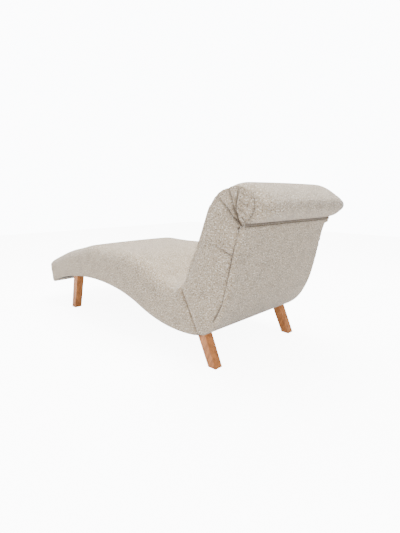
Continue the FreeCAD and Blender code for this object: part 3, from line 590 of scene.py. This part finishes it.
# The back: foam over elastic webbing, with a foam roll at its head, covered in one tweed cloth. It is
# drawn into the hip crease, gathered in pleats over the ends of the roll and pulled under the roll.
back_stations = {
    "lumbar": (0.516, 0.408, 71, 0.060, 0.060, 0.0),
    "neck": (0.618, 0.638, 68.9, 0.060, 0.060, 0.3),
    "crown_front": (0.687, 0.776, 48.6, 0.058, 0.064, 0.6),
    "crown_top": (0.773, 0.828, 15.6, 0.058, 0.079, 1.0),
    "roll_back": (0.948, 0.766, -43.8, 0.058, 0.079, 1.0),
    "roll_low": (0.869, 0.673, 178.2, 0.034, 0.050, 1.0),
    "tuck": (0.860, 0.662, -108.5, 0.012, 0.012, 0.9),
    "back_low": (0.789, 0.368, -104, 0.012, 0.012, 0.0),
    "hip_rear": (0.639, 0.1538, -155.1, 0.012, 0.012, 0.0),
    "crease_foot": (0.6055, 0.1578, 119.2, 0.012, 0.008, 0.0),
    "crease_top": (0.4981, 0.3510, 119.2, 0.014, 0.009, 0.0),
}
head_narrow = 0.0095
line, marks = closed_line(back_stations)
total = line[0, -1]
names = list(back_stations)
station_far = [marks[name] for name in names]
foot = (marks["hip_rear"] + marks["crease_foot"]) / 2
tip = (marks["roll_back"] + marks["roll_low"]) / 2
columns = 190
upper = np.linspace(foot - total, tip, columns)
# Each front station, with the rear station that its side reaches and the share of the way to the next.
ties = (("crease_foot", "hip_rear", 0.25, -1), ("crease_top", "back_low", 0.40, -1),
        ("lumbar", "back_low", 0.0, 0), ("neck", "tuck", 0.17, 0), ("crown_front", "roll_low", 0.75, 0), ("crown_top", "roll_low", 0.0, 0))
following = dict(zip(names, names[1:] + names[:1]))
ties_far = [foot - total] + [marks[name] + lap * total for name, _, _, lap in ties] + [tip]
ties_low = [foot]
ties_low += [marks[near] + share * (marks[following[near]] - marks[near]) for _, near, share, _ in ties]
ties_low += [tip]
lower = np.interp(upper, ties_far, ties_low)


def back_sizes(far, rise):
    """Depth and width of the back's side edge, its half width and its crown at these distances."""
    depth, width = (eased(far, station_far, [row[k] for row in back_stations.values()], total) for k in (3, 4))
    narrow = eased(far, station_far, [row[5] for row in back_stations.values()], total)
    return depth, width, body_half - head_narrow * narrow, rise + 0 * far


back = stuffed_body("back_upholstery", line, upper, lower, back_sizes(upper, crown(upper, 0.003)),
                    back_sizes(lower, 0.0), middle=40, corner=9, rows=30, bulge=0.003)
welded(back, 0.0001)
facing = normals_of(back)
spot = points_of(back)
held = np.maximum(soft_step(-facing @ crease_way, 0.55, 0.9) * (spot[:, 2] < 0.40),
                  soft_step(facing[:, 1], 0.75, 0.92) * (spot[:, 2] < 0.67))
held = np.maximum(held, soft_step(-facing[:, 2], 0.3, 0.7) * (spot[:, 2] < 0.40))
plumped(back, held, swell=0.001)
refined(back)


# Painted shade: where the tuck under the roll darkens the cloth, how far it reaches and how dark it is, and
# how far a crease's painted shade reaches against its width.
tuck_place, tuck_reach, tuck_painted_shade = (0.862, 0.665), 0.007, 0.85
swell_share, swell_place, painted_shade_reach = 0.66, 2.2, 0.7


def creased(piece, paths, least_x, floor_x):
    """Press creases into both sides of a piece, beyond least_x but not below floor_x. Each is a path of
    places (y, z), how deep it is, how wide, how dark its painted shade is, and its strength at either end.
    At a distance d from the path the skin sinks by depth e^(-(d/w)^2) and swells beside it by two thirds
    of that. The piece's shade attribute holds painted shade, darker along the path and in the tuck under the
    roll."""
    points, normals = points_of(piece), normals_of(piece)
    near = np.flatnonzero(abs(points[:, 0]) > least_x)
    spot = points[near, 1:]
    shift, shade = np.zeros(len(near)), np.zeros(len(near))
    for path, depth, width, dark, ends in paths:
        path = np.array(path)
        run = np.concatenate([[0], np.cumsum(np.linalg.norm(np.diff(path, axis=0), axis=1))])
        best, place = np.full(len(near), 9.0), np.zeros(len(near))
        for a, b, start, finish in zip(path[:-1], path[1:], run[:-1], run[1:]):
            t = np.clip(((spot - a) @ (b - a)) / ((b - a) @ (b - a)), 0, 1)
            gap = np.linalg.norm(spot - a - t[:, None] * (b - a), axis=1)
            closer = gap < best
            best[closer] = gap[closer]
            place[closer] = (start + (finish - start) * t[closer]) / run[-1]
        strength = ends[0] + (ends[1] - ends[0]) * place
        shift += depth * strength * (swell_share * np.exp(-((best - swell_place * width) / width) ** 2)
                                     - np.exp(-(best / width) ** 2))
        shade = np.maximum(shade, dark * strength * np.exp(-(best / width / painted_shade_reach) ** 2))
    side = soft_step(abs(normals[near, 0]), 0.35, 0.75)
    points[near] += normals[near] * (shift * side)[:, None]
    flat = (side > 0.5) & (abs(points[near, 0]) < floor_x)
    points[near[flat], 0] = np.sign(points[near[flat], 0]) * floor_x
    set_points(piece, points)
    # Painted shade in the tuck under the roll and along the creases, kept in the shade attribute.
    tuck = tuck_painted_shade * np.exp(-(np.linalg.norm(points[:, 1:] - tuck_place, axis=1) / tuck_reach) ** 2)
    painted_shade_per_point = tuck.astype(np.float32)
    painted_shade_per_point[near] = np.maximum(painted_shade_per_point[near], shade * side)
    piece.data.attributes.new("shade", "FLOAT", "POINT").data.foreach_set("value", painted_shade_per_point)
    return piece


# Three pleats fan out from the corner under the roll, small folds lie between the last one and the arc
# where the roll's end begins, and long shallow pulls run forward from the seam behind. Each path also
# darkens the cloth along it with painted shade.
seam = ((0.840, 0.654), (0.825, 0.594), (0.809, 0.544), (0.799, 0.502), (0.790, 0.451), (0.780, 0.394),
        (0.759, 0.325), (0.703, 0.226), (0.685, 0.194))
pleats = (
    (((0.845, 0.664), (0.812, 0.694), (0.786, 0.718), (0.757, 0.744), (0.716, 0.774)), 0.0080, 0.0066, 1.0,
     (1.0, 0.4)),
    (((0.845, 0.664), (0.822, 0.702), (0.807, 0.734), (0.794, 0.768), (0.772, 0.815)), 0.0080, 0.0066, 1.0,
     (1.0, 0.5)),
    (((0.846, 0.660), (0.829, 0.690), (0.820, 0.722), (0.819, 0.758), (0.828, 0.812)), 0.0095, 0.0070, 1.0,
     (1.0, 0.6)),
    (((0.886, 0.792), (0.905, 0.762), (0.905, 0.730), (0.893, 0.700), (0.872, 0.674)), 0.0070, 0.0066, 0.9,
     (0.3, 1.0)),
    (((0.832, 0.764), (0.856, 0.746), (0.886, 0.738)), 0.0036, 0.0054, 0.5, (1.0, 0.3)),
    (((0.830, 0.736), (0.850, 0.716), (0.874, 0.704)), 0.0036, 0.0050, 0.5, (1.0, 0.3)),
    (((0.834, 0.708), (0.850, 0.694), (0.866, 0.688)), 0.0034, 0.0046, 0.5, (1.0, 0.3)),
    (((0.838, 0.790), (0.862, 0.778), (0.884, 0.772)), 0.0028, 0.0054, 0.4, (0.9, 0.2)),
    (((0.824, 0.534), (0.790, 0.543), (0.728, 0.568), (0.659, 0.580)), 0.0036, 0.0080, 0.8, (1.0, 0.1)),
    (((0.822, 0.560), (0.800, 0.574), (0.770, 0.600)), 0.0018, 0.0070, 0.4, (1.0, 0.1)),
    (((0.800, 0.440), (0.772, 0.452), (0.730, 0.470)), 0.0016, 0.0080, 0.4, (1.0, 0.1)),
    (seam, 0.0040, 0.0066, 1.0, (1.0, 0.8)),
)
creased(back, pleats, least_x=0.27, floor_x=0.3472)
hollowed(back)
finished(back, seat_cloth)
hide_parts("back_cover", "back_foam")
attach(back, "root")

# The outside back: one flat cloth panel over wadding, wrapped a little round both rear edges, its folded
# edges slip stitched to the sides, its top tucked under the roll.
panel_proud, panel_round = 0.0016, 0.012
panel_far = np.linspace(marks["tuck"] + 0.004, marks["hip_rear"] + 0.004, 90)
panel_point, panel_in = on_line(line, panel_far)
lap = 0.016 + 0.016 * soft_step(panel_far, marks["hip_rear"] - 0.16, marks["hip_rear"] - 0.02)
round_size = panel_round + panel_proud
arc = np.linspace(0, math.pi / 2, 7)[None, :]
side = np.linspace(0, 1, 5)[None, 1:]
flat = np.linspace(-1, 1, 60)[None, :]
x_half = (back_sizes(panel_far, 0.0)[2] + panel_proud)[:, None]
edge_x = np.concatenate([x_half - round_size + round_size * np.sin(arc) + 0 * lap[:, None],
                         x_half + 0 * (lap[:, None] * side)], axis=1)
edge_in = np.concatenate([round_size * (1 - np.cos(arc)) + 0 * lap[:, None],
                          round_size + (lap[:, None] - panel_round) * side], axis=1)
middle_x = (flat * (x_half - round_size))[:, 1:-1]
panel_x = np.concatenate([-edge_x[:, ::-1], middle_x, edge_x], axis=1)
panel_depth = np.concatenate([edge_in[:, ::-1], 0 * middle_x, edge_in], axis=1) - panel_proud
panel_spot = panel_point[:, None, :] + panel_in[:, None, :] * panel_depth[..., None]
panel = grid_mesh("outside_back_panel", np.concatenate([panel_x[..., None], panel_spot], axis=-1))
run = np.repeat(panel_far[:, None], panel_x.shape[1], 1)
# Painted shade along the panel's top, where it goes into the shadow of the tuck under the roll.
panel_painted_shade = (0.8 * np.exp(-((run - marks["tuck"]) / 0.009) ** 2)).reshape(-1).astype(np.float32)
panel.data.attributes.new("shade", "FLOAT", "POINT").data.foreach_set("value", panel_painted_shade)
panel.data.attributes.new("along", "FLOAT", "POINT").data.foreach_set("value", run.reshape(-1))
thick = panel.modifiers.new("cloth_thickness", "SOLIDIFY")
thick.thickness = 0.0014
thick.offset = -1
applied(panel)
finished(panel, seat_cloth)
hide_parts("outside_back_cover")
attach(panel, "root")

# The oak legs: square tapers of solid oak, planed and oiled, with the grain along each leg. The rear legs
# lean back by 24.7 degrees and the front legs forward by 14.6.


def grain_group():
    """A node group for wood grain along Z. Wide rings, noise drawn out along the grain, and fine dark pores
    change a light colour to a dark one."""
    group = bpy.data.node_groups.new("grain", "ShaderNodeTree")
    for name, kind, value in (("Place", "NodeSocketVector", None),
                              ("Light", "NodeSocketColor", (0.6, 0.4, 0.2, 1)),
                              ("Dark", "NodeSocketColor", (0.3, 0.2, 0.1, 1))):
        socket = group.interface.new_socket(name, in_out="INPUT", socket_type=kind)
        if value is not None:
            socket.default_value = value
    for name, kind in (("Color", "NodeSocketColor"), ("Height", "NodeSocketFloat")):
        group.interface.new_socket(name, in_out="OUTPUT", socket_type=kind)
    new, link = group.nodes.new, group.links.new
    source = new("NodeGroupInput").outputs
    result = new("NodeGroupOutput").inputs
    shares = []
    for scale, low, high in (((0.020, 0.020, 0.30), 0.40, 0.62), ((0.0026, 0.0026, 0.09), 0.42, 0.66),
                             ((0.0009, 0.0009, 0.014), 0.60, 0.72)):
        stretch = new("ShaderNodeMapping")
        stretch.vector_type = "TEXTURE"
        stretch.inputs["Scale"].default_value = scale
        link(source["Place"], stretch.inputs["Vector"])
        streak = new("ShaderNodeTexNoise")
        streak.inputs["Scale"].default_value = 1.0
        streak.inputs["Detail"].default_value = 3.0
        link(stretch.outputs[0], streak.inputs["Vector"])
        share = new("ShaderNodeMapRange")
        share.inputs["From Min"].default_value = low
        share.inputs["From Max"].default_value = high
        link(streak.outputs["Fac"], share.inputs["Value"])
        shares.append(share.outputs[0])
    mixed = source["Light"]
    for share, most in zip(shares, (0.45, 0.50, 0.55)):
        amount = new("ShaderNodeMath")
        amount.operation = "MULTIPLY"
        amount.inputs[1].default_value = most
        link(share, amount.inputs[0])
        layer = new("ShaderNodeMix")
        layer.data_type = "RGBA"
        link(amount.outputs[0], layer.inputs["Factor"])
        a, b = [socket for socket in layer.inputs if socket.enabled and socket.name in ("A", "B")]
        link(mixed, a)
        link(source["Dark"], b)
        mixed = [socket for socket in layer.outputs if socket.enabled][0]
    link(mixed, result["Color"])
    link(shares[2], result["Height"])
    return group


grain = grain_group()


def wood_material(name, light, dark, turn, roughness):
    """Wood with its grain along an axis turned from Z by these angles."""
    finish = bpy.data.materials.new(name)
    finish.use_nodes = True
    new, link = finish.node_tree.nodes.new, finish.node_tree.links.new
    shader = finish.node_tree.nodes["Principled BSDF"]
    place = new("ShaderNodeTexCoord")
    lean = new("ShaderNodeMapping")
    lean.inputs["Rotation"].default_value = turn
    wood = new("ShaderNodeGroup")
    wood.node_tree = grain
    wood.inputs["Light"].default_value = light
    wood.inputs["Dark"].default_value = dark
    bump = new("ShaderNodeBump")
    bump.inputs["Strength"].default_value = 0.25
    bump.inputs["Distance"].default_value = 0.0004
    bump.invert = True
    link(place.outputs["Object"], lean.inputs["Vector"])
    link(lean.outputs[0], wood.inputs["Place"])
    link(wood.outputs["Color"], shader.inputs["Base Color"])
    link(wood.outputs["Height"], bump.inputs["Height"])
    link(bump.outputs[0], shader.inputs["Normal"])
    shader.inputs["Roughness"].default_value = roughness
    return finish


def dressed(node, finish):
    """The CAD node with this finish in its first slot."""
    if not node.data.materials:
        node.data.materials.append(finish)
    node.data.materials[0] = finish


oak_light, oak_dark = (0.62, 0.225, 0.062, 1), (0.17, 0.048, 0.012, 1)
oak = {"rear": wood_material("rear_oak", oak_light, oak_dark, (math.radians(24.7), 0, 0), 0.42),
       "front": wood_material("front_oak", oak_light, oak_dark, (math.radians(-14.6), 0, 0), 0.42)}
for end in ("front", "rear"):
    for side in ("left", "right"):
        dressed(nodes["%s_leg_%s" % (end, side)], oak[end])

# The frame: side frames cut from birch plywood, and softwood rails and leg blocks, planed and unfinished.
birch = wood_material("birch_plywood", (0.62, 0.46, 0.28, 1), (0.42, 0.28, 0.15, 1), (0, 0, 0), 0.7)
pine = wood_material("planed_pine", (0.60, 0.41, 0.22, 1), (0.42, 0.24, 0.10, 1),
                     (0, math.radians(90), 0), 0.65)
for side in ("left", "right"):
    dressed(nodes["side_frame_" + side], birch)
    for end in ("front", "rear"):
        dressed(nodes["%s_leg_block_%s" % (end, side)], pine)
for name in ("toe", "seat_front", "seat_middle", "hip", "lumbar", "neck", "roll", "outside_back"):
    dressed(nodes[name + "_rail"], pine)


# The metal inside: drawn spring wire, zinc plated clips, bolts and tee nuts.
def mottled_material(name, colour, other, size, roughness, metallic, depth):
    """A finish of one colour mottled with another by noise of this size, which also roughens it."""
    finish = bpy.data.materials.new(name)
    finish.use_nodes = True
    new, link = finish.node_tree.nodes.new, finish.node_tree.links.new
    shader = finish.node_tree.nodes["Principled BSDF"]
    place = new("ShaderNodeTexCoord")
    mottle = new("ShaderNodeTexNoise")
    mottle.inputs["Scale"].default_value = 1 / size
    mottle.inputs["Detail"].default_value = 3.0
    ramp = new("ShaderNodeValToRGB")
    ramp.color_ramp.elements[0].position = 0.35
    ramp.color_ramp.elements[1].position = 0.65
    ramp.color_ramp.elements[0].color = colour
    ramp.color_ramp.elements[1].color = other
    bump = new("ShaderNodeBump")
    bump.inputs["Strength"].default_value = 0.4
    bump.inputs["Distance"].default_value = depth
    link(place.outputs["Object"], mottle.inputs["Vector"])
    link(mottle.outputs["Fac"], ramp.inputs["Fac"])
    link(ramp.outputs["Color"], shader.inputs["Base Color"])
    link(mottle.outputs["Fac"], bump.inputs["Height"])
    link(bump.outputs[0], shader.inputs["Normal"])
    shader.inputs["Roughness"].default_value = roughness
    shader.inputs["Metallic"].default_value = metallic
    return finish


wire = mottled_material("spring_wire", (0.20, 0.20, 0.21, 1), (0.28, 0.28, 0.29, 1),
                        0.004, 0.4, 1.0, 0.0001)
zinc = mottled_material("zinc_plate", (0.62, 0.63, 0.64, 1), (0.48, 0.49, 0.50, 1), 0.003, 0.35, 1.0, 0.0001)
dressed(nodes["seat_springs"], wire)
for name in ("spring_clips", "hanger_bolts", "tee_nuts"):
    dressed(nodes[name], zinc)

# The layers hidden in the seat and back: pressed felt over the springs, elastic webbing across the back, a
# card strip at the tuck, wadding behind the back, and the black dust cover stretched underneath.
felt_grey = mottled_material("pressed_felt", (0.20, 0.19, 0.17, 1), (0.33, 0.32, 0.30, 1),
                             0.003, 0.95, 0.0, 0.0008)
band_black = mottled_material("elastic_webbing", (0.03, 0.03, 0.03, 1), (0.08, 0.08, 0.08, 1),
                              0.002, 0.8, 0.0, 0.0004)
card_brown = mottled_material("stiff_card", (0.36, 0.26, 0.16, 1), (0.42, 0.32, 0.21, 1),
                              0.006, 0.85, 0.0, 0.0002)
wad_white = mottled_material("soft_wadding", (0.78, 0.78, 0.75, 1), (0.88, 0.88, 0.86, 1),
                             0.004, 0.98, 0.0, 0.0015)
dust_black = mottled_material("dust_cloth", (0.010, 0.010, 0.011, 1), (0.03, 0.03, 0.03, 1),
                              0.0015, 0.9, 0.0, 0.0003)
dressed(nodes["tack_strip"], card_brown)


def thin_layer(name, line, start, end, depth, thickness, half, rows, columns):
    """A sheet that follows the outline from one distance to another at a depth below it, as wide as the
    frame, with its faces a thickness apart."""
    far = np.linspace(start, end, rows)
    spot, inward = on_line(line, far)
    x = np.linspace(-half, half, columns)
    sheets = []
    for level in (depth, depth + thickness):
        place = (spot + inward * level)[:, None, :] + 0 * x[None, :, None]
        sheets.append(np.concatenate([np.repeat(x[None, :, None], rows, 0), place], axis=-1))
    ring = np.concatenate([sheets[0], sheets[1][:, ::-1]], axis=1)
    ring = np.concatenate([ring[:1], ring, ring[-1:]])
    for row in (0, -1):
        ring[row, columns:] = ring[row, columns - 1::-1]
    return welded(grid_mesh(name, ring, closed=True), 0.0001)


def stretched(piece, node, finish):
    """A stretched sheet in place of its CAD node."""
    finished(piece, finish)
    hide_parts(node)
    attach(piece, "root")


dust = thin_layer("dust_sheet", outline, outline_marks["hip_rear"], outline_marks["under_toe"] - 0.0124, 0.0,
                  0.0008, 0.3446, 150, 40)
stretched(dust, "dust_cover", dust_black)
felt_sheet = thin_layer("felt_sheet", outline, outline_marks["toe_top"], outline_marks["hip"], 0.0464, 0.0015,
                        0.3446, 90, 30)
stretched(felt_sheet, "spring_felt", felt_grey)
wad = thin_layer("wadding_sheet", outline, outline_marks["tuck"] + 0.0218, outline_marks["hip_rear"], 0.0019,
                 0.0082, 0.3446, 60, 40)
finished(wad, wad_white)
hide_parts("outside_back_wadding")
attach(wad, "root")
dressed(nodes["back_webbing"], band_black)
bpy.data.objects.remove(frame_space)
